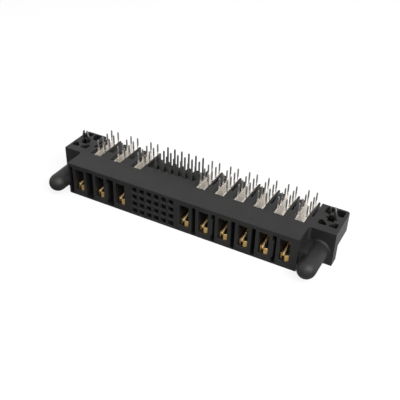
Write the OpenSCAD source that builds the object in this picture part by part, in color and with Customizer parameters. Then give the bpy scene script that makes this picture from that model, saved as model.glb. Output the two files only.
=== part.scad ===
// Right-angle board connector with blade sockets for power and a block of
// signal sockets, two guide posts and two board locks.
// It lies with its board side up: the solder tails point to +Z, the mating
// face looks to -Y, and the origin is under the middle of the whole part.

/* [Contact layout] */
// Pitch of the signal contacts and of all solder tails
grid = 2.54; // [2.5:0.01:2.58]
// Pitch of the power contacts to the left of the signals
left_pitch = 7.62; // [7.3:0.02:8.2]
// Pitch of the power contacts to the right of the signals
right_pitch = 6.35; // [6.2:0.05:7]
// From the first signal column to the nearest left power contact
left_gap = 5.08; // [5:0.02:6]
// From the last signal column to the nearest right power contact
right_gap = 4.5; // [4.4:0.05:5.5]
// From the mating face to the first row of tails
tail_front = 12.54; // [12.4:0.02:12.8]

/* [Body] */
// Height of the body
body_h = 11.1; // [11:0.1:12]
// Depth of the body from the mating face to the rear
body_d = 18.6; // [18.4:0.1:19.2]
// From the leftmost power contact to the left end of the body
left_margin = 4.2; // [4.1:0.1:5]
// From the rightmost power contact to the right end of the body
right_margin = 3.9; // [3.8:0.1:5]

/* [Power bays] */
// Thickness of the floor under a power contact
bay_floor = 2.05; // [1.6:0.05:2.3]
// Thickness of the plate above the front of a power contact
bay_roof = 1.65; // [1.5:0.05:2]
// Wall between a power contact and a vent channel
tower_wall = 1.05; // [0.8:0.05:1.1]
// Depth of the vent channels from the mating face
channel_d = 7.5; // [5:0.1:8]
// Thickness of the plate above the vent channels
channel_roof = 1.3; // [1:0.1:1.5]
// Thickness of the plate below the vent channels
channel_floor = 0.4; // [0.3:0.05:0.8]
// From the mating face to the place where a bay opens to the board side
bay_open = 8.4; // [8.2:0.1:9]
// Gap between a power contact and its latch
latch_gap = 0.68; // [0.5:0.02:0.75]
// Thickness of a latch
latch_t = 0.6; // [0.5:0.05:0.65]
// Length of a latch behind the body
latch_tip = 1.2; // [0.6:0.1:1.5]

/* [Power contacts] */
// Thickness of the sheet metal
sheet_t = 0.4; // [0.35:0.05:0.5]
// Gap between a power contact and each side wall of its bay
side_gap = 0.05; // [0.02:0.01:0.08]
// Rise of the sheet behind the roof of its bay
panel_rise = 0.3; // [0.1:0.05:0.5]
// Width of a tail
tail_w = 0.45; // [0.4:0.05:0.7]
// Length of the tails above the body
tail_len = 2.77; // [2.4:0.05:3.4]
// From the last row of tails to the rear edge of a power contact
panel_rear = 0.35; // [0.3:0.05:0.6]

/* [Signal contacts] */
// Side of a square signal opening
signal_hole = 1.4; // [1.3:0.05:1.6]
// Side of the wider mouth of a signal opening
signal_mouth = 1.85; // [1.7:0.05:2]
// From the middle of the body's height down to the middle of the signal rows
signal_drop = 0.26; // [0.1:0.02:0.4]
// Thickness of a signal lead
lead_t = 0.4; // [0.3:0.05:0.5]
// Width of a signal lead and of its tail
lead_w = 0.55; // [0.45:0.05:0.65]
// Depth of the solid block that holds the signal contacts
signal_block_d = 11; // [10.5:0.1:11.5]

/* [Flanges] */
// Width of the left flange
left_flange_w = 6.55; // [6.4:0.05:7.6]
// Width of the right flange
right_flange_w = 7.95; // [7.4:0.05:9]
// From the mating face to the front of the flanges
flange_front = 7.3; // [7:0.1:7.8]
// Depth of the flanges
flange_d = 12.4; // [12.2:0.1:12.6]
// Height of the upper block of the flanges
flange_block_h = 6.1; // [5.6:0.1:7]
// Depth of the leg under the upper block
flange_leg_d = 3.7; // [3:0.1:5]

/* [Guide posts] */
// Diameter of a guide post
post_dia = 5.6; // [5:0.1:5.8]
// From the mating face to the tip of a guide post
post_reach = 5.4; // [4:0.1:9]
// Length of the rounded nose
nose_len = 3; // [2.6:0.1:3.6]
// Height of the axis of a guide post
post_z = 4.5; // [4:0.1:5.2]
// From the left end of the body to the axis of the left guide post
left_post_gap = 2.4; // [2.2:0.05:3.2]
// From the right end of the body to the axis of the right guide post
right_post_gap = 3.7; // [3.2:0.05:4.2]

/* [Board locks] */
// From the left end of the body to the left board lock
left_lock_gap = 3.05; // [2.95:0.05:3.35]
// From the right end of the body to the right board lock
right_lock_gap = 4.15; // [3.2:0.05:4.3]
// From the mating face to the board locks
lock_y = 14; // [13.9:0.1:14.1]
// Height of the prongs above the body
lock_h = 3.9; // [3:0.1:4.5]
// Thickness of a board lock
lock_t = 0.65; // [0.5:0.05:0.9]

/* [Hidden] */
$fn = 48;
cut = 1;

left_count = 3;
right_count = 6;
power_count = left_count + right_count;
signal_columns = 6;
signal_rows = 4;
tail_rows = 4;

// Places along the body, from the first signal column at x = 0
left_first_x = -left_gap - (left_count - 1) * left_pitch;
right_first_x = (signal_columns - 1) * grid + right_gap;
power_x = concat(
    [for (i = [0 : left_count - 1]) left_first_x + i * left_pitch],
    [for (i = [0 : right_count - 1]) right_first_x + i * right_pitch]
);
body_left = left_first_x - left_margin;
body_right = power_x[power_count - 1] + right_margin;
flange_left = body_left - left_flange_w;
flange_right = body_right + right_flange_w;
post_x = [body_left - left_post_gap, body_right + right_post_gap];
lock_x = [body_left - left_lock_gap, body_right + right_lock_gap];

// Bays and power contacts
contact_w = grid + sheet_t;
bay_w = contact_w + 2 * side_gap;
bay_top = body_h - bay_roof;
tower_half = bay_w / 2 + tower_wall;
latch_in = bay_w / 2 + latch_gap;
latch_out = latch_in + latch_t;
groove_y = 12.2;
groove_z = 4;
bay_block = 1.5;
end_wall = 0.5;
end_groove = 0.55;
end_notch = [2, 2.9];
channel_rib_w = 0.5;
channel_rib_z = [2.3, 8];
ribbed_channels = [1, 4, 7];
panel_front = 6.8;
tail_tip = body_h + tail_len;
tail_taper = 0.35;
tail_point = 0.5;
tail_y = [for (r = [0 : tail_rows - 1]) tail_front + r * grid];
panel_back = tail_y[tail_rows - 1] + panel_rear;
web_y = [9.2, 16.5];

// Spring beams of a power contact: the lowest pair reaches further forward
beam_count = 3;
beam_gap = 0.55;
beam_step = 4.2;
beam_neck = [0.12, 1.2];
beam_lip = [1.02, 0.45];
lip_back = 0.4;

// Hook of a latch and the notch that it holds
hook_h = 2.4;
hook_inset = 0.1;
hook_gap = 0.05;
hook_y = body_d - hook_inset;
hook_top = bay_floor + hook_h;

// Signal sockets
mouth_d = 0.5;
socket_y = [2.6, 8.6];
socket_base_y = 5.6;
socket_t = 0.3;
socket_h = 1;
socket_neck = [0.3, 3.6];
socket_lip = 0.1;
comb_drop = 1.35;
comb_top = body_h - comb_drop;
comb_floor = signal_z(signal_rows - 1) - signal_hole / 2;
recess_x = [
    power_x[left_count - 1] + latch_out,
    power_x[left_count] - bay_w / 2 - end_wall
];

// Guide posts, flanges and board locks
nose_step = 9;
root_draft = 0.1;
root_fillet = 0.6;
rib_share = 0.88;
rib_front = 0.7;
flange_corner_r = 1;
fillet_r = 0.9;
lock_hole = [1.9, 3, 4];
lock_slot_w = 3.2;
lock_seat = 5;
lock_leg_x = 0.66;
lock_leg_w = 0.42;
lock_barb = 0.3;
lock_barb_z = [0.8, 1.9];
lock_tip_x = 0.05;
lock_bar_h = 1.2;

// Pockets round a board lock: depth, corner radius, and outlines on the +x side
pocket_d = 3.4;
pocket_r = 0.35;
pocket_front = [[0.4, -4], [2.8, -4], [2.8, -1.75], [1.9, -1.75], [0.4, -3.1]];
pocket_back = [[1.5, 1.9], [2.8, 1.9], [2.8, 5], [0.35, 5], [0.35, 3.6]];

// The origin of the part, under the middle of its outer box
origin = [
    (flange_left + flange_right) / 2,
    (panel_back - post_reach) / 2,
    0
];

function signal_z(row) =
    body_h / 2 - signal_drop + ((signal_rows - 1) / 2 - row) * grid;

// A box between two corners
module box(low, high) {
    translate(low)
        cube(high - low);
}

// A profile in y and z, given its thickness along x about x = 0
module side_plate(thickness) {
    translate([-thickness / 2, 0, 0])
        rotate([90, 0, 90])
            linear_extrude(thickness)
                children();
}

// A profile in x and z, given its thickness along y about y = 0
module front_plate(thickness) {
    translate([0, thickness / 2, 0])
        rotate([90, 0, 0])
            linear_extrude(thickness)
                children();
}

// The space of one power contact: closed in front, open to the board side behind
module bay() {
    box(
        [-bay_w / 2, -cut, bay_floor],
        [bay_w / 2, bay_open + cut, bay_top]
    );
    box(
        [-bay_w / 2, bay_open, bay_floor],
        [latch_in, body_d + latch_tip + cut, body_h + cut]
    );
}

// A groove beside a latch that lets it bend
module latch_groove(from_x, to_x) {
    box(
        [from_x, groove_y, groove_z],
        [to_x, body_d + latch_tip + cut, body_h + cut]
    );
}

// Vent channels between the power bays, open in front
module vent_channels() {
    box(
        [body_left + end_wall, -cut, channel_floor],
        [power_x[0] - tower_half, channel_d, body_h - channel_roof]
    );
    for (i = [0 : power_count - 2])
        if (i != left_count - 1)
            difference() {
                box(
                    [power_x[i] + tower_half, -cut, channel_floor],
                    [power_x[i + 1] - tower_half, channel_d, body_h - channel_roof]
                );
                if (len(search(i, ribbed_channels)) > 0)
                    box(
                        [power_x[i] + tower_half - cut, -2 * cut, channel_rib_z[0]],
                        [power_x[i] + tower_half + channel_rib_w, channel_d + cut, channel_rib_z[1]]
                    );
            }
}

// All bays with the grooves beside their latches
module power_bays() {
    for (i = [0 : power_count - 1])
        translate([power_x[i], 0, 0])
            bay();
    for (i = [0 : power_count - 2])
        if (i != left_count - 1)
            latch_groove(
                power_x[i] + latch_out,
                power_x[i + 1] - bay_w / 2 - bay_block
            );
    last = power_x[power_count - 1];
    latch_groove(last + latch_out, last + latch_out + end_groove);
    latch_groove(power_x[0] - end_notch[1], power_x[0] - end_notch[0]);
}

// One square signal opening with its wider mouth
module signal_opening() {
    slope = (signal_mouth - signal_hole) / mouth_d;
    box(
        [-signal_hole / 2, -cut, -signal_hole / 2],
        [signal_hole / 2, signal_block_d + cut, signal_hole / 2]
    );
    translate([0, -cut, 0])
        rotate([-90, 45, 0])
            cylinder(
                h = mouth_d + cut,
                d1 = (signal_mouth + slope * cut) * sqrt(2),
                d2 = signal_hole * sqrt(2),
                $fn = 4
            );
}

// Openings of the signal contacts and the comb behind them
module signal_block_cuts() {
    for (col = [0 : signal_columns - 1])
        translate([col * grid, 0, 0]) {
            for (row = [0 : signal_rows - 1])
                translate([0, 0, signal_z(row)])
                    signal_opening();
            box(
                [-signal_hole / 2, signal_block_d, comb_floor],
                [signal_hole / 2, body_d + cut, body_h + cut]
            );
        }
    box(
        [recess_x[0], signal_block_d, comb_top],
        [recess_x[1], body_d + cut, body_h + cut]
    );
}

// The latch tips that stand out behind the body
module latch_tips() {
    for (i = [0 : power_count - 1])
        box(
            [power_x[i] + latch_in, body_d - cut, bay_floor],
            [power_x[i] + latch_out, body_d + latch_tip, body_h]
        );
}

// The hook of each latch, behind the notch of its contact
module latch_hooks() {
    reach = grid / 2 - sheet_t / 2;
    for (i = [0 : power_count - 1])
        translate([power_x[i], 0, bay_floor])
            linear_extrude(hook_top - bay_floor)
                polygon([
                    [reach, hook_y],
                    [latch_in + latch_t / 2, hook_y],
                    [latch_in + latch_t / 2, body_d + latch_tip],
                    [latch_in, body_d + latch_tip],
                    [reach, body_d + latch_tip / 2]
                ]);
}

// A flange from its inner side at x = 0 to its outer side at x = width
module flange(width) {
    back = flange_front + flange_d;
    translate([0, 0, body_h - flange_block_h])
        linear_extrude(flange_block_h)
            difference() {
                translate([-cut, flange_front])
                    square([width + cut, flange_d]);
                translate([width - flange_corner_r, back - flange_corner_r])
                    difference() {
                        square(flange_corner_r + cut);
                        circle(flange_corner_r);
                    }
            }
    box(
        [-cut, flange_front, 0],
        [width, flange_front + flange_leg_d, body_h - flange_block_h + cut]
    );
}

// The rounded inner corner between the body and the front of a flange
module corner_fillet() {
    linear_extrude(body_h)
        translate([-cut, -fillet_r])
            difference() {
                square([fillet_r + cut, fillet_r + cut]);
                translate([fillet_r + cut, 0])
                    circle(fillet_r);
            }
}

// A guide post with a rounded nose, its axis along y, a little thicker at its root
module guide_post() {
    r = post_dia / 2;
    foot_r = r + root_draft + root_fillet;
    root = flange_front + cut;
    shaft = root + post_reach - nose_len;
    translate([0, root, 0])
        rotate([90, 0, 0])
            rotate_extrude()
                polygon(concat(
                    [[0, 0], [foot_r, 0]],
                    [
                        for (a = [0 : 2 * nose_step : 90])
                        [foot_r - root_fillet * sin(a), cut + root_fillet * (1 - cos(a))]
                    ],
                    [[r, root]],
                    [
                        for (a = [0 : nose_step : 90 - nose_step])
                        [r * cos(a), shaft + nose_len * sin(a)]
                    ],
                    [[0, shaft + nose_len]]
                ));
}

// The rib that joins a guide post to the end of the body
module post_rib(from_x, to_x) {
    half_h = rib_share * post_dia / 2;
    box(
        [from_x, rib_front, post_z - half_h],
        [to_x, flange_front + cut, post_z + half_h]
    );
}

// Hole and pockets round one board lock, seen from the board side
module lock_cuts() {
    box(
        [-lock_hole[0] / 2, -lock_hole[1] / 2, body_h - lock_hole[2]],
        [lock_hole[0] / 2, lock_hole[1] / 2, body_h + cut]
    );
    box(
        [-lock_slot_w / 2, -lock_t / 2, body_h - lock_seat],
        [lock_slot_w / 2, lock_t / 2, body_h + cut]
    );
    for (side = [0, 1])
        mirror([side, 0, 0])
            translate([0, 0, body_h - pocket_d])
                linear_extrude(pocket_d + cut)
                    offset(pocket_r, $fn = 16)
                        offset(-pocket_r) {
                            polygon(pocket_front);
                            polygon(pocket_back);
                        }
}

// The moulded housing with flanges and guide posts
module housing() {
    color("#2b2b2d")
        translate(-origin)
            difference() {
                union() {
                    box([body_left, 0, 0], [body_right, body_d, body_h]);
                    latch_tips();
                    translate([body_right, 0, 0])
                        flange(right_flange_w);
                    translate([body_left, 0, 0])
                        mirror([1, 0, 0])
                            flange(left_flange_w);
                    translate([body_right, flange_front, 0])
                        corner_fillet();
                    translate([body_left, flange_front, 0])
                        mirror([1, 0, 0])
                            corner_fillet();
                    for (x = post_x)
                        translate([x, 0, post_z])
                            guide_post();
                    post_rib(post_x[0], body_left + end_wall);
                    post_rib(body_right - end_wall, post_x[1]);
                }
                difference() {
                    power_bays();
                    latch_hooks();
                }
                vent_channels();
                signal_block_cuts();
                for (x = lock_x)
                    translate([x, lock_y, 0])
                        lock_cuts();
            }
}

// Outline of one tail with a tapered tip, in y and z about y = 0
module tail_outline(foot, tip, width) {
    point = tail_point * width;
    polygon([
        [-width / 2, foot],
        [width / 2, foot],
        [width / 2, tip - tail_taper],
        [point / 2, tip],
        [-point / 2, tip],
        [-width / 2, tip - tail_taper]
    ]);
}

// One side of a power contact with its row of tails, notched for the latch or not
module power_panel(notched) {
    panel_top = bay_top + panel_rise;
    notch = [hook_y - hook_gap, hook_top + hook_gap];
    side_plate(sheet_t) {
        difference() {
            polygon([
                [panel_front, bay_floor],
                [panel_back, bay_floor],
                [panel_back, panel_top],
                [bay_open, panel_top],
                [bay_open, bay_top],
                [panel_front, bay_top]
            ]);
            if (notched)
                translate([notch[0], bay_floor - cut])
                    square([panel_back, notch[1] - bay_floor + cut]);
        }
        for (y = tail_y)
            translate([y, 0])
                tail_outline(bay_top, tail_tip, tail_w);
    }
}

// Outline of one spring beam from above, on the +x side
module beam_outline(set_back) {
    outer = contact_w / 2;
    root = panel_front + sheet_t;
    y_lip = beam_lip[1] + set_back;
    y_neck = beam_neck[1] + set_back;
    polygon([
        [outer, root],
        [outer, panel_front - sheet_t],
        [beam_neck[0] + sheet_t, y_neck + sheet_t / 2],
        [beam_lip[0] + sheet_t / 2, y_lip + lip_back],
        [beam_lip[0], y_lip],
        [beam_neck[0], y_neck],
        [outer - sheet_t, panel_front - sheet_t],
        [outer - sheet_t, root]
    ]);
}

// A power contact: two panels, the web that joins them, and the spring beams
module power_contact(i) {
    beam_space = bay_top - bay_floor;
    beam_h = (beam_space - (beam_count - 1) * beam_gap) / beam_count;
    color("#b5b2aa")
        translate(-origin + [power_x[i], 0, 0]) {
            for (side = [-1, 1])
                translate([side * grid / 2, 0, 0])
                    power_panel(side == 1);
            box(
                [-grid / 2, web_y[0], bay_floor],
                [grid / 2, web_y[1], bay_floor + sheet_t]
            );
            for (side = [0, 1])
                mirror([side, 0, 0])
                    for (k = [0 : beam_count - 1])
                        translate([0, 0, bay_floor + k * (beam_h + beam_gap)])
                            linear_extrude(beam_h)
                                beam_outline(k == 0 ? 0 : beam_step);
        }
}

// Outline of one side of a signal socket from above, on the +x side
module socket_outline() {
    outer = signal_hole / 2;
    polygon([
        [outer, socket_y[1]],
        [outer, socket_base_y],
        [socket_neck[0] + socket_t, socket_neck[1]],
        [socket_neck[0] + socket_t + socket_lip, socket_y[0]],
        [socket_neck[0] + socket_lip, socket_y[0]],
        [socket_neck[0], socket_neck[1]],
        [outer - socket_t, socket_base_y],
        [outer - socket_t, socket_y[1]]
    ]);
}

// A signal contact: a forked socket and a lead bent up to its tail
module signal_contact(row, col) {
    y = tail_y[row];
    drop = signal_hole / 2;
    color("#b9b6ae")
        translate(-origin + [col * grid, 0, signal_z(row)]) {
            for (side = [0, 1])
                mirror([side, 0, 0])
                    translate([0, 0, -drop])
                        linear_extrude(socket_h)
                            socket_outline();
            box(
                [-signal_hole / 2, socket_base_y, -drop],
                [signal_hole / 2, socket_y[1], -drop + socket_t]
            );
            box(
                [-lead_t / 2, socket_y[1] - 1, -drop],
                [lead_t / 2, y + lead_w / 2, -drop + lead_w]
            );
            side_plate(lead_t)
                translate([y, 0])
                    tail_outline(-drop, tail_tip - signal_z(row), lead_w);
        }
}

// A forked board lock that stands in its slot
module board_lock(x) {
    seat = body_h - lock_seat;
    leg_in = lock_leg_x - lock_leg_w / 2;
    leg_out = lock_leg_x + lock_leg_w / 2;
    right_side = [
        [leg_in, seat + lock_bar_h],
        [leg_in, body_h + lock_h],
        [lock_leg_x + lock_tip_x, body_h + lock_h],
        [leg_out + lock_barb, body_h + lock_barb_z[1]],
        [leg_out, body_h + lock_barb_z[0]],
        [leg_out, seat + lock_bar_h],
        [lock_slot_w / 2, seat + lock_bar_h],
        [lock_slot_w / 2, seat]
    ];
    left_side = [
        for (i = [len(right_side) - 1 : -1 : 0])
        [-right_side[i][0], right_side[i][1]]
    ];
    color("#aaa79f")
        translate(-origin + [x, lock_y, 0])
            front_plate(lock_t)
                polygon(concat(right_side, left_side));
}

housing();
for (i = [0 : power_count - 1])
    power_contact(i);
for (row = [0 : signal_rows - 1])
    for (col = [0 : signal_columns - 1])
        signal_contact(row, col);
board_lock(lock_x[0]);  // board_lock_left
board_lock(lock_x[1]);  // board_lock_right
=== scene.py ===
"""Dresses a right-angle power and signal board connector and lights it for a product picture."""

import logging
from collections.abc import Sequence
from dataclasses import dataclass
from enum import Enum, IntEnum
from math import cos, pi, radians, sin

import bmesh
import bpy
from mathutils import Matrix, Vector


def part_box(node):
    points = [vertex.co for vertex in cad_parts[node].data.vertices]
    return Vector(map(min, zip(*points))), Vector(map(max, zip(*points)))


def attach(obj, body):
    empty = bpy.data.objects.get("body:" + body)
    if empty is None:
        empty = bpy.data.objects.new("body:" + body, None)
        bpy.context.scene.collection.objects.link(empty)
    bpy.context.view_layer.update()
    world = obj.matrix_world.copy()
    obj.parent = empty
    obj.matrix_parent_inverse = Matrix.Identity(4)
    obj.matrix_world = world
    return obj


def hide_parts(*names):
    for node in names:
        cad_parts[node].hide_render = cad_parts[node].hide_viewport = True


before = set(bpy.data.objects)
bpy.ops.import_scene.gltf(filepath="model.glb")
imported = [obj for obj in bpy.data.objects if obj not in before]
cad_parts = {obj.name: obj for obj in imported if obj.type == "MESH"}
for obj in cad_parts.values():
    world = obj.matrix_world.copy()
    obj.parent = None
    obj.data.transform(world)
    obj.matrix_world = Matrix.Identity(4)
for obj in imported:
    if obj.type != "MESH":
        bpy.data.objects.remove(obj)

LOG = logging.getLogger("connector")

MM = 0.001
BODY = "root"

# Corners closer than WELD are joined, faces that meet at less than FLAT are made one, and edges
# that turn more than SHARP are rounded. A bar's top is the face whose normal's z is past UPWARD.
WELD = 0.001 * MM
FLAT = radians(0.5)
SHARP = radians(35)
UPWARD = 0.9

# The y at which gold gives way to tin on each kind of contact, and the z at which its tails
# begin. The last two lines lie outside the part.
POWER_GOLD_TO = -0.5 * MM
SIGNAL_GOLD_TO = -4.0 * MM
TAILS_FROM = 11.15 * MM
NO_GOLD = -1.0
NO_TAILS = 1.0

# Colour sockets of a Mix node, which shares their names among its kinds of value.
MIX_FIRST = 6
MIX_SECOND = 7
MIX_RESULT = 2

Colour = tuple[float, float, float, float]
Point = tuple[float, float, float]
Place = tuple[float, float]
Span = tuple[float, float]
Socket = bpy.types.NodeSocket

WHITE: Colour = (1.0, 1.0, 1.0, 1.0)


class Grain(Enum):
    """Which way the grain of a surface runs, as the scale of its pattern on each axis."""

    EVEN = (1.0, 1.0, 1.0)
    LENGTHWISE = (1.0, 0.12, 1.0)


class Arithmetic(Enum):
    """How a node makes one value of two."""

    ADD = "ADD"
    MULTIPLY = "MULTIPLY"
    MAXIMUM = "MAXIMUM"


class Metal(IntEnum):
    """Material slots of a power contact."""

    PLATING = 0
    # Cut edges that face up, rough and with a painted highlight.
    SHEARED = 1
    ROLLED = 2


class Side(IntEnum):
    """Side of the bay on which a spring stands, as the sign of its x."""

    LEFT = -1
    RIGHT = 1


class Graph:
    """Nodes of a material or of the world, with short calls to add and join them."""

    def __init__(self, owner: bpy.types.ID) -> None:
        """Start with an empty node tree.

        Args:
            owner: The new material or world.
        """
        self.owner = owner
        owner.use_nodes = True
        self.tree = owner.node_tree
        self.tree.nodes.clear()

    def add(self, kind: str, **inputs: object) -> bpy.types.Node:
        """Add a node and set or join its inputs.

        Args:
            kind: Node type without its ShaderNode prefix.
            inputs: Socket names, with underscores for spaces, and their values or source sockets.

        Returns:
            The new node.
        """
        node = self.tree.nodes.new(f"ShaderNode{kind}")
        for key, value in inputs.items():
            self.put(node.inputs[key.replace("_", " ")], value)
        return node

    def put(self, socket: Socket, value: object) -> None:
        """Join a source socket to an input, or set the input's own value.

        Args:
            socket: The input.
            value: Source socket, or a plain value.
        """
        if isinstance(value, Socket):
            self.tree.links.new(value, socket)
        else:
            socket.default_value = value

    def place(self, grain: Grain = Grain.EVEN) -> Socket:
        """Object coordinates, squeezed along the grain.

        Args:
            grain: Direction of the grain.

        Returns:
            The vector socket.
        """
        coords = self.add("TexCoord").outputs["Object"]
        return self.add("Mapping", Vector=coords, Scale=grain.value).outputs["Vector"]

    def axes(self) -> bpy.types.bpy_prop_collection:
        """Object coordinates as one socket for each of X, Y and Z."""
        coords = self.add("TexCoord").outputs["Object"]
        return self.add("SeparateXYZ", Vector=coords).outputs

    def noise(self, vector: Socket, scale: float, detail: float = 3.0) -> Socket:
        """A noise value between 0 and 1 at that scale."""
        return self.add("TexNoise", Vector=vector, Scale=scale, Detail=detail).outputs["Fac"]

    def spread(
        self, value: Socket, low: float, high: float, start: float = 0.0, end: float = 1.0
    ) -> Socket:
        """Map a value from one range onto another.

        Args:
            value: Socket of the value.
            low: Result at the start of the value's range and below.
            high: Result at its end and above.
            start: Start of the value's range.
            end: End of the value's range.

        Returns:
            The mapped value's socket.
        """
        node = self.add("MapRange", Value=value)
        node.inputs["From Min"].default_value = start
        node.inputs["From Max"].default_value = end
        node.inputs["To Min"].default_value = low
        node.inputs["To Max"].default_value = high
        return node.outputs["Result"]

    def step(self, value: Socket, line: float, reach: float) -> Socket:
        """Rise from 0 before a line to 1 past it, with a change that reaches to both sides."""
        return self.spread(value, 0.0, 1.0, line - reach, line + reach)

    def combine(self, how: Arithmetic, first: object, second: object) -> Socket:
        """Make one value of two.

        Args:
            how: What is done with them.
            first: Value or socket.
            second: Value or socket.

        Returns:
            The result's socket.
        """
        node = self.add("Math", Value=first)
        node.operation = how.value
        self.put(node.inputs[1], second)
        return node.outputs[0]

    def blend(self, factor: Socket, first: object, second: object) -> Socket:
        """Mix two colours by a factor.

        Args:
            factor: 0 gives the first colour and 1 the second.
            first: Colour or socket.
            second: Colour or socket.

        Returns:
            The mixed colour's socket.
        """
        node = self.tree.nodes.new("ShaderNodeMix")
        node.data_type = "RGBA"
        self.put(node.inputs["Factor"], factor)
        self.put(node.inputs[MIX_FIRST], first)
        self.put(node.inputs[MIX_SECOND], second)
        return node.outputs[MIX_RESULT]

    def bump(self, height: Socket, strength: float, distance: float) -> Socket:
        """A bumped normal from a height socket."""
        node = self.add("Bump", Height=height, Strength=strength, Distance=distance)
        return node.outputs["Normal"]

    def finish(self, shader: Socket, output: str = "OutputMaterial") -> bpy.types.ID:
        """Join a shader to the output.

        Args:
            shader: Socket of the shader.
            output: Type of the output node without its ShaderNode prefix.

        Returns:
            The finished material or world.
        """
        self.add(output, Surface=shader)
        return self.owner


@dataclass(frozen=True)
class MouldedPlastic:
    """Black glass-filled plastic as it leaves the mould, with flow marks and a fine grain."""

    name: str = "moulded_plastic"
    dark: Colour = (0.0065, 0.0065, 0.0065, 1.0)
    pale: Colour = (0.0105, 0.0102, 0.0098, 1.0)
    roughness: Span = (0.42, 0.58)
    ior: float = 1.38
    flow_scale: float = 160.0
    flow_span: Span = (0.3, 0.7)
    grain_scale: float = 4200.0
    grain_detail: float = 2.0
    grain_span: Span = (0.25, 0.75)
    grain_depth: float = 0.02 * MM
    grain_bump: float = 0.35

    def make(self) -> bpy.types.Material:
        """Build the node material.

        Returns:
            The new material.
        """
        g = Graph(bpy.data.materials.new(self.name))
        place = g.place()
        flow = g.noise(place, self.flow_scale)
        grain = g.noise(place, self.grain_scale, self.grain_detail)
        base = g.blend(g.spread(flow, 0.0, 1.0, *self.flow_span), self.dark, self.pale)
        rough = g.spread(grain, *self.roughness, *self.grain_span)
        shader = g.add("BsdfPrincipled", Base_Color=base, Roughness=rough, IOR=self.ior)
        g.put(shader.inputs["Normal"], g.bump(grain, self.grain_bump, self.grain_depth))
        return g.finish(shader.outputs["BSDF"])


@dataclass(frozen=True)
class PlatedMetal:
    """Copper alloy sheet, gold plated in front of a line and tin plated behind it.

    Clouds change its colour, and fine scratches along the sheet its roughness.

    Attributes:
        name: Name of the material.
        gold_to: The y at which the gold ends.
        roughness: Least and most roughness of the gold.
        matt_tin: How much rougher the tin is.
        tail_shade_above: The z above which the tin takes a painted shade.
        gold_reach: How far the change from gold to tin reaches to both sides.
        tail_shade_reach: How far the change to that painted shade reaches to both sides.
    """

    name: str
    gold_to: float
    tin: Colour = (0.84, 0.8, 0.745, 1.0)
    tin_dull: Colour = (0.7, 0.665, 0.615, 1.0)
    gold: Colour = (0.9, 0.63, 0.26, 1.0)
    gold_dull: Colour = (0.72, 0.47, 0.17, 1.0)
    roughness: Span = (0.4, 0.56)
    metallic: float = 1.0
    matt_tin: float = 0.2
    tail_shade_above: float = NO_TAILS
    # Painted shade: this dark colour of the tails stands in for the dark surroundings that they
    # mirror.
    painted_tail_shade: Colour = (0.3, 0.295, 0.285, 1.0)
    gold_reach: float = 0.4 * MM
    tail_shade_reach: float = 0.1 * MM
    cloud_scale: float = 700.0
    cloud_span: Span = (0.35, 0.65)
    scratch_scale: float = 9000.0
    scratch_detail: float = 2.0
    scratch_span: Span = (0.3, 0.7)
    scratch_depth: float = 0.01 * MM
    scratch_bump: float = 0.2

    def make(self) -> bpy.types.Material:
        """Build the node material.

        Returns:
            The new material.
        """
        g = Graph(bpy.data.materials.new(self.name))
        cloud = g.noise(g.place(), self.cloud_scale)
        scratch = g.noise(g.place(Grain.LENGTHWISE), self.scratch_scale, self.scratch_detail)
        dull = g.spread(cloud, 0.0, 1.0, *self.cloud_span)
        tin = g.blend(dull, self.tin, self.tin_dull)
        gold = g.blend(dull, self.gold, self.gold_dull)
        axes = g.axes()
        behind = g.step(axes["Y"], self.gold_to, self.gold_reach)
        # Painted shade: the tin of the tails turns dark above their start.
        above = g.step(axes["Z"], self.tail_shade_above, self.tail_shade_reach)
        base = g.blend(above, g.blend(behind, gold, tin), self.painted_tail_shade)
        matt = g.spread(behind, 0.0, self.matt_tin)
        scratched = g.spread(scratch, *self.roughness, *self.scratch_span)
        rough = g.combine(Arithmetic.ADD, matt, scratched)
        shader = g.add("BsdfPrincipled", Base_Color=base, Roughness=rough, Metallic=self.metallic)
        g.put(shader.inputs["Normal"], g.bump(scratch, self.scratch_bump, self.scratch_depth))
        return g.finish(shader.outputs["BSDF"])


@dataclass
class Housing:
    """The moulded housing with its flanges and guide posts."""

    node: str = "housing"
    finish: MouldedPlastic = MouldedPlastic()
    edge_radius: float = 0.12 * MM
    edge_segments: int = 2

    def dress(self) -> None:
        """Round the moulded edges and give the solid its material."""
        dress_nodes(self.node, self.finish.make(), self.edge_radius, self.edge_segments)


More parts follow.
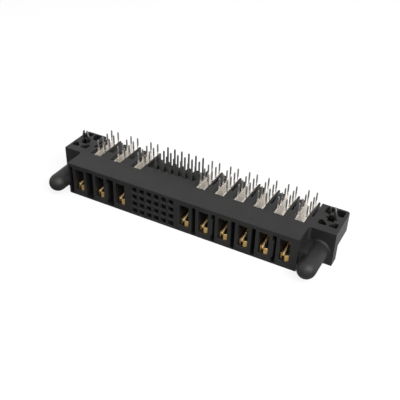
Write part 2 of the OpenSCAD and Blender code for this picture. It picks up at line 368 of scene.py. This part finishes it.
@dataclass(frozen=True)
class SpringBeam:
    """One folded spring of a power contact.

    An outer plate runs forward along the wall, turns inwards at the mouth, and comes back as a
    leaf. Its x counts from the middle of its bay, and its y from the mating face. The sizes are
    those of a right spring, and a left one is its mirror image.

    Attributes:
        low: The z of its lower edge.
        high: The z of its upper edge.
        side: Side of the bay.
        set_back: How much further back it turns than a spring at the mouth.
        leaf: Length of the leaf.
        plate: The x of the outer plate.
        root: The y where the outer plate begins.
        corner: The y where it turns inwards, without the set back.
        corner_radius: Radius of that turn.
        corner_turn: Angle of that turn.
        face: Length of the face across the mouth.
        nose_radius: Radius of the fold from the face to the leaf.
        leaf_lean: Angle between the leaf and the way back.
        bend_steps: Facets of each bend.
        thickness: Thickness of the sheet.
    """

    low: float
    high: float
    side: Side = Side.RIGHT
    set_back: float = 0.0
    leaf: float = 3.8 * MM
    plate: float = 1.27 * MM
    root: float = 7.0 * MM
    corner: float = 1.15 * MM
    corner_radius: float = 0.25 * MM
    corner_turn: float = radians(70)
    face: float = 0.6 * MM
    nose_radius: float = 0.2 * MM
    leaf_lean: float = radians(8.8)
    bend_steps: int = 6
    thickness: float = 0.4 * MM

    def build(self, mesh: bmesh.types.BMesh) -> None:
        """Bend the spring from a strip and give it its thickness.

        Args:
            mesh: The mesh that takes the spring.
        """
        strip = bmesh.new()
        ends = [strip.verts.new((self.plate, self.root, z)) for z in (self.low, self.high)]
        edge = strip.edges.new(ends)
        heading = Vector((0.0, -1.0, 0.0))
        edge = self.draw_out(strip, edge, heading * (self.root - self.corner - self.set_back))
        edge, heading = self.bend(strip, edge, heading, self.corner_radius, self.corner_turn)
        edge = self.draw_out(strip, edge, heading * self.face)
        fold = pi + self.leaf_lean - self.corner_turn
        edge, heading = self.bend(strip, edge, heading, self.nose_radius, fold)
        self.draw_out(strip, edge, heading * self.leaf)
        bmesh.ops.solidify(strip, geom=strip.faces[:], thickness=self.thickness)
        bmesh.ops.scale(strip, vec=(self.side, 1.0, 1.0), verts=strip.verts[:])
        bmesh.ops.recalc_face_normals(strip, faces=strip.faces[:])
        join(mesh, strip)

    def bend(
        self,
        strip: bmesh.types.BMesh,
        edge: bmesh.types.BMEdge,
        heading: Vector,
        radius: float,
        turn: float,
    ) -> tuple[bmesh.types.BMEdge, Vector]:
        """Turn the strip clockwise, seen from above.

        Args:
            strip: Mesh of the strip.
            edge: Its last upright edge.
            heading: Direction in which the strip runs there.
            radius: Radius of the bend.
            turn: Angle of the bend.

        Returns:
            The new last edge and the new heading.
        """
        start = edge.verts[0].co
        centre = (start.x + heading.y * radius, start.y - heading.x * radius, 0.0)
        spun = bmesh.ops.spin(
            strip,
            geom=[edge, *edge.verts],
            cent=centre,
            axis=(0.0, 0.0, -1.0),
            angle=turn,
            steps=self.bend_steps,
            use_merge=False,
        )
        last = next(g for g in spun["geom_last"] if isinstance(g, bmesh.types.BMEdge))
        return last, Matrix.Rotation(-turn, 3, "Z") @ heading

    def draw_out(
        self, strip: bmesh.types.BMesh, edge: bmesh.types.BMEdge, step: Vector
    ) -> bmesh.types.BMEdge:
        """Draw the strip's last upright edge out by a step.

        Args:
            strip: Mesh of the strip.
            edge: Its last upright edge.
            step: How far the edge goes.

        Returns:
            The new last edge.
        """
        drawn = bmesh.ops.extrude_edge_only(strip, edges=[edge])["geom"]
        verts = [g for g in drawn if isinstance(g, bmesh.types.BMVert)]
        bmesh.ops.translate(strip, vec=step, verts=verts)
        edges = (g for g in drawn if isinstance(g, bmesh.types.BMEdge))
        return next(g for g in edges if all(v in verts for v in g.verts))


@dataclass(frozen=True)
class Bar:
    """A straight bar of a power contact.

    Its x counts from the middle of its bay and its y from the mating face.

    Attributes:
        start: The x and y at which its middle line starts.
        end: The x and y at which it ends.
        width: Width across that line.
        low: The z of its lower side.
        high: The z of its upper side.
        top: Metal of its upper side.
    """

    start: Place
    end: Place
    width: float
    low: float
    high: float
    top: Metal = Metal.PLATING

    def build(self, mesh: bmesh.types.BMesh) -> None:
        """Add the bar to a mesh.

        Args:
            mesh: The mesh that takes the bar.
        """
        start, end = Vector((*self.start, 0.0)), Vector((*self.end, 0.0))
        run = end - start
        turn = run.to_track_quat("X", "Z").to_matrix()
        bar = bmesh.new()
        verts = bmesh.ops.create_cube(bar, size=1.0)["verts"]
        bmesh.ops.scale(bar, vec=(run.length, self.width, self.high - self.low), verts=verts)
        bmesh.ops.rotate(bar, cent=(0.0, 0.0, 0.0), matrix=turn, verts=verts)
        middle = (start + end) / 2 + Vector((0.0, 0.0, (self.low + self.high) / 2))
        bmesh.ops.translate(bar, vec=middle, verts=verts)
        bmesh.ops.recalc_face_normals(bar, faces=bar.faces[:])
        for face in bar.faces:
            face.material_index = self.top if face.normal.z > UPWARD else Metal.PLATING
        join(mesh, bar)


@dataclass
class PowerContacts:
    """The nine blade sockets: stamped panels with tails, and springs in front.

    Attributes:
        nodes: How the names of their CAD nodes start.
        plating: Finish of the sheet, for slot PLATING.
        sheared_highlit: Finish of cut edges that face up, with a painted highlight, for slot
            SHEARED.
        rolled: Finish of a web's flat top, for slot ROLLED.
        face_y: The y of the mating face.
        cut_y: How far behind the face the solid is cut. What lies behind the cut is kept.
        edge_radius: Radius of their edges.
        edge_segments: Facets across that radius.
        lip: The lower right spring, whose leaf ends at the mouth.
        plate: Outer plate of the lower left spring.
        web: Low strip that joins the left plate to the finger.
        finger: Narrow bar of the lower left spring, which runs back from the mouth.
        upper: The springs above, further back in the bay.
    """

    nodes: str = "power_contact"
    plating: PlatedMetal = PlatedMetal(
        # Above TAILS_FROM the tails take a painted shade.
        "power_plating_and_tail_shade", POWER_GOLD_TO, roughness=(0.32, 0.46), tail_shade_above=TAILS_FROM
    )
    # Painted highlight: up-facing cut edges take a paler, less metallic gold, on top of their
    # real roughness.
    sheared_highlit: PlatedMetal = PlatedMetal(
        "sheared_edges_highlit",
        POWER_GOLD_TO,
        gold=(0.95, 0.74, 0.43, 1.0),
        gold_dull=(0.85, 0.62, 0.33, 1.0),
        roughness=(0.75, 0.9),
        metallic=0.3,
    )
    rolled: PlatedMetal = PlatedMetal("rolled_gold", POWER_GOLD_TO, roughness=(0.66, 0.78))
    face_y: float = -7.555 * MM
    cut_y: float = 6.7 * MM
    edge_radius: float = 0.03 * MM
    edge_segments: int = 1
    lip: SpringBeam = SpringBeam(low=2.12 * MM, high=4.15 * MM, leaf=0.4 * MM)
    plate: Bar = Bar(
        start=(-1.07 * MM, 1.1 * MM),
        end=(-1.07 * MM, 7.0 * MM),
        width=0.4 * MM,
        low=2.12 * MM,
        high=4.0 * MM,
    )
    web: Bar = Bar(
        start=(-0.72 * MM, 1.2 * MM),
        end=(-1.05 * MM, 4.6 * MM),
        width=0.6 * MM,
        low=3.7 * MM,
        high=3.95 * MM,
        top=Metal.ROLLED,
    )
    finger: Bar = Bar(
        start=(-0.28 * MM, 0.5 * MM),
        end=(-0.72 * MM, 4.6 * MM),
        width=0.42 * MM,
        low=3.65 * MM,
        high=4.15 * MM,
        # Its up-facing faces carry a painted highlight.
        top=Metal.SHEARED,
    )
    upper: tuple[SpringBeam, ...] = tuple(
        SpringBeam(low, high, side, set_back=5.2 * MM, leaf=1.6 * MM)
        for low, high in ((4.7 * MM, 6.8 * MM), (7.35 * MM, 9.45 * MM))
        for side in (Side.RIGHT, Side.LEFT)
    )

    def build(self) -> None:
        """Build all contacts in place of their plain solids."""
        finishes = {
            Metal.PLATING: self.plating,
            Metal.SHEARED: self.sheared_highlit,
            Metal.ROLLED: self.rolled,
        }
        metals = [finishes[slot].make() for slot in Metal]
        for name in nodes_named(self.nodes):
            self.contact(name, metals)

    def contact(self, name: str, metals: Sequence[bpy.types.Material]) -> None:
        """Build one contact.

        Args:
            name: Name of the CAD node.
            metals: Its materials in the order of their slots.
        """
        low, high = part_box(name)
        middle = (low[0] + high[0]) / 2
        panels = merged_copy(name)
        cut = bmesh.ops.bisect_plane(
            panels,
            geom=[*panels.verts, *panels.edges, *panels.faces],
            plane_co=(0.0, self.face_y + self.cut_y, 0.0),
            plane_no=(0.0, -1.0, 0.0),
            clear_outer=True,
        )
        rims = [g for g in cut["geom_cut"] if isinstance(g, bmesh.types.BMEdge)]
        bmesh.ops.holes_fill(panels, edges=rims)
        bmesh.ops.translate(panels, vec=(-middle, -self.face_y, 0.0), verts=panels.verts[:])
        for arm in (self.lip, self.plate, self.web, self.finger, *self.upper):
            arm.build(panels)
        bmesh.ops.translate(panels, vec=(middle, self.face_y, 0.0), verts=panels.verts[:])
        piece = to_piece(panels, f"{name}_stamping", metals)
        soften(piece, self.edge_radius, self.edge_segments)
        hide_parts(name)


@dataclass
class SignalContacts:
    """The small forked sockets and their leads."""

    nodes: str = "signal_contact"
    finish: PlatedMetal = PlatedMetal(
        "signal_plating_and_shade",
        SIGNAL_GOLD_TO,
        # Painted shade: the tin is set near black, for the dark surroundings that the leads
        # mirror.
        tin=(0.15, 0.146, 0.14, 1.0),
        tin_dull=(0.09, 0.088, 0.085, 1.0),
    )
    edge_radius: float = 0.03 * MM
    edge_segments: int = 1

    def dress(self) -> None:
        """Round their edges and give them their plated metal, whose tin is painted dark as shade.
        """
        dress_nodes(self.nodes, self.finish.make(), self.edge_radius, self.edge_segments)


@dataclass
class BoardLocks:
    """The forked strips that snap into the circuit board."""

    nodes: str = "board_lock"
    finish: PlatedMetal = PlatedMetal(
        "lock_plating_and_shade",
        NO_GOLD,
        # Painted shade: the tin is set darker than tin, for the shade that the prongs show.
        tin=(0.38, 0.37, 0.355, 1.0),
        tin_dull=(0.24, 0.234, 0.225, 1.0),
        roughness=(0.16, 0.26),
        matt_tin=0.0,
    )
    edge_radius: float = 0.03 * MM
    edge_segments: int = 1

    def dress(self) -> None:
        """Round their edges and give them their tin plating, painted dark as shade."""
        dress_nodes(self.nodes, self.finish.make(), self.edge_radius, self.edge_segments)


@dataclass(frozen=True)
class SoftBox:
    """A square lamp that faces the part.

    Attributes:
        name: Name of the lamp.
        place: Where it hangs, in metres.
        size: Length of its side, in metres.
        watts: Power of the lamp.
    """

    name: str
    place: Point
    size: float
    watts: float

    def hang(self) -> None:
        """Hang the lamp and turn it to the part."""
        data = bpy.data.lights.new(self.name, "AREA")
        data.size = self.size
        data.energy = self.watts
        lamp = bpy.data.objects.new(self.name, data)
        lamp.location = self.place
        lamp.rotation_euler = (-Vector(self.place)).to_track_quat("-Z", "Y").to_euler()
        bpy.context.collection.objects.link(lamp)


@dataclass(frozen=True)
class Viewpoint:
    """Where the photograph was taken from.

    Attributes:
        target: The point in the middle of the picture, in millimetres.
        azimuth: Degrees from the front towards the right end.
        elevation: Degrees above the floor.
        roll: Degrees that the camera is turned about its own axis.
        distance: From the target to the camera, in millimetres.
        lens: Focal length, in millimetres.
        clip_start: The nearest that the camera sees, in metres.
    """

    target: Point = (7.526, -7.555, 13.565)
    azimuth: float = 27.144
    elevation: float = 35.010
    roll: float = 1.899
    distance: float = 187.5
    lens: float = 59.55
    clip_start: float = 0.01

    def set_camera(self) -> None:
        """Stand the camera there."""
        az, el, roll = radians(self.azimuth), radians(self.elevation), radians(self.roll)
        back = Vector((sin(az) * cos(el), -cos(az) * cos(el), sin(el)))
        right = Vector((cos(az), sin(az), 0.0))
        up = back.cross(right)
        level = Matrix((right, up, back)).transposed()
        turn = level @ Matrix.Rotation(roll, 3, "Z")
        data = bpy.data.cameras.new("camera")
        data.lens = self.lens
        data.clip_start = self.clip_start
        camera = bpy.data.objects.new("camera", data)
        eye = (Vector(self.target) + back * self.distance) * MM
        camera.matrix_world = Matrix.Translation(eye) @ turn.to_4x4()
        bpy.context.collection.objects.link(camera)
        bpy.context.scene.camera = camera


@dataclass
class Studio:
    """Floor, world, lamps and camera of the product picture.

    The part's gloss mirrors the floor, white behind the part and darker in front as a painted
    shadow.

    Attributes:
        floor_size: Length of the floor's side, in metres.
        paper: Colour of the floor.
        white_share: How much of the camera's view of the floor is plain white.
        near_shadow_gloss: Painted shadow, as the floor's light in front for gloss at the left and
            right end.
        near_span: The x of those two ends.
        behind_span: The y from which the floor grows white, and at which it is.
        world_light: Light of the world on matt surfaces.
        lamps: The soft boxes.
        viewpoint: Place of the camera.
    """

    floor_size: float = 6.0
    paper: Colour = (0.9, 0.9, 0.9, 1.0)
    white_share: float = 0.8
    near_shadow_gloss: Span = (0.2, 0.48)
    near_span: Span = (-45.0 * MM, 45.0 * MM)
    behind_span: Span = (-5.0 * MM, 20.0 * MM)
    world_light: float = 0.55
    lamps: tuple[SoftBox, ...] = (
        SoftBox("key", (-0.45, -0.35, 0.5), size=0.5, watts=0.5),
        SoftBox("side", (0.55, -0.1, 0.35), size=0.5, watts=3.0),
        SoftBox("front", (0.25, -0.26, 0.42), size=0.45, watts=2.6),
    )
    viewpoint: Viewpoint = Viewpoint()

    def floor(self) -> None:
        """Lay a pale floor that keeps the shadow, and shows gloss a painted shadow in front of
        the part.
        """
        bpy.ops.mesh.primitive_plane_add(size=self.floor_size)
        plane = bpy.context.object
        plane.name = "floor"
        g = Graph(bpy.data.materials.new("floor_paper"))
        ray = g.add("LightPath").outputs
        seen = g.combine(Arithmetic.MULTIPLY, ray["Is Camera Ray"], self.white_share)
        shown = g.combine(Arithmetic.MAXIMUM, seen, ray["Is Glossy Ray"])
        axes = g.axes()
        # Painted shadow: for gloss the floor in front of the part glows less, least at the left
        # end.
        front_shadow = g.spread(axes["X"], *self.near_shadow_gloss, *self.near_span)
        behind = g.spread(axes["Y"], 0.0, 1.0, *self.behind_span)
        glossy = g.blend(behind, front_shadow, WHITE)
        strength = g.blend(ray["Is Glossy Ray"], WHITE, glossy)
        paper = g.add("BsdfDiffuse", Color=self.paper)
        glow = g.add("Emission", Color=WHITE, Strength=strength)
        mix = g.add("MixShader", Fac=shown)
        g.put(mix.inputs[1], paper.outputs[0])
        g.put(mix.inputs[2], glow.outputs[0])
        plane.data.materials.append(g.finish(mix.outputs[0]))

    def world(self) -> None:
        """Make the surroundings white to the eye, in gloss and in glass, and soft as a light."""
        g = Graph(bpy.data.worlds.new("studio"))
        ray = g.add("LightPath").outputs
        seen = g.combine(Arithmetic.MAXIMUM, ray["Is Camera Ray"], ray["Is Transmission Ray"])
        seen = g.combine(Arithmetic.MAXIMUM, seen, ray["Is Glossy Ray"])
        strength = g.spread(seen, self.world_light, 1.0)
        sky = g.add("Background", Color=WHITE, Strength=strength)
        bpy.context.scene.world = g.finish(sky.outputs[0], "OutputWorld")

    def set_up(self) -> None:
        """Build the whole studio."""
        bpy.context.scene.view_settings.view_transform = "Standard"
        self.floor()
        self.world()
        for lamp in self.lamps:
            lamp.hang()
        self.viewpoint.set_camera()


def nodes_named(start: str) -> list[str]:
    """Names of the CAD nodes that start so, sorted."""
    return sorted(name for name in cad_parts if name.startswith(start))


def dress_nodes(start: str, material: bpy.types.Material, radius: float, segments: int) -> None:
    """Paint some CAD nodes and round their edges.

    Args:
        start: How the names of the nodes start.
        material: The material.
        radius: Radius of the rounding.
        segments: Facets across the rounding.
    """
    for name in nodes_named(start):
        paint(name, material)
        soften(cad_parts[name], radius, segments)


def paint(name: str, material: bpy.types.Material) -> None:
    """Put a material in every slot of a CAD node.

    Args:
        name: Name of the node.
        material: The material.
    """
    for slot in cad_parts[name].material_slots:
        slot.link = "OBJECT"
        slot.material = material
    LOG.info("%s: %s", name, material.name)


def soften(target: bpy.types.Object, radius: float, segments: int) -> None:
    """Round the sharp edges of an object with live modifiers.

    Args:
        target: The object, whose mesh may be loose triangles.
        radius: Radius of the rounding.
        segments: Facets across the rounding.
    """
    weld = target.modifiers.new("weld", "WELD")
    weld.merge_threshold = WELD
    flat = target.modifiers.new("flat", "DECIMATE")
    flat.decimate_type = "DISSOLVE"
    flat.angle_limit = FLAT
    flat.delimit = {"MATERIAL"}
    bevel = target.modifiers.new("edges", "BEVEL")
    bevel.width = radius
    bevel.segments = segments
    bevel.limit_method = "ANGLE"
    bevel.angle_limit = SHARP
    bevel.use_clamp_overlap = False


def merged_copy(name: str) -> bmesh.types.BMesh:
    """Copy a CAD node's mesh and join its triangles.

    Args:
        name: Name of the node.

    Returns:
        The new mesh.
    """
    mesh = bmesh.new()
    mesh.from_mesh(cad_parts[name].data)
    bmesh.ops.remove_doubles(mesh, verts=mesh.verts[:], dist=WELD)
    bmesh.ops.dissolve_limit(mesh, angle_limit=FLAT, verts=mesh.verts[:], edges=mesh.edges[:])
    return mesh


def join(target: bmesh.types.BMesh, extra: bmesh.types.BMesh) -> None:
    """Add a mesh to another.

    Args:
        target: The mesh that grows.
        extra: The mesh that is added, which is freed.
    """
    data = bpy.data.meshes.new("part")
    extra.to_mesh(data)
    extra.free()
    target.from_mesh(data)
    bpy.data.meshes.remove(data)


def to_piece(
    mesh: bmesh.types.BMesh, name: str, materials: Sequence[bpy.types.Material]
) -> bpy.types.Object:
    """Make a finished piece that rides on the body.

    Args:
        mesh: Its mesh, which is freed.
        name: Name of the piece.
        materials: Its materials, in the order of their slots.

    Returns:
        The new object.
    """
    data = bpy.data.meshes.new(name)
    mesh.to_mesh(data)
    mesh.free()
    for material in materials:
        data.materials.append(material)
    piece = bpy.data.objects.new(name, data)
    bpy.context.collection.objects.link(piece)
    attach(piece, BODY)
    LOG.info("%s: %d faces", name, len(data.polygons))
    return piece


def main() -> None:
    """Dress the part, light it and place the camera."""
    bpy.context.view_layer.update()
    Housing().dress()
    PowerContacts().build()
    SignalContacts().dress()
    BoardLocks().dress()
    Studio().set_up()


if __name__ == "__main__":
    logging.basicConfig(level=logging.INFO)
    main()
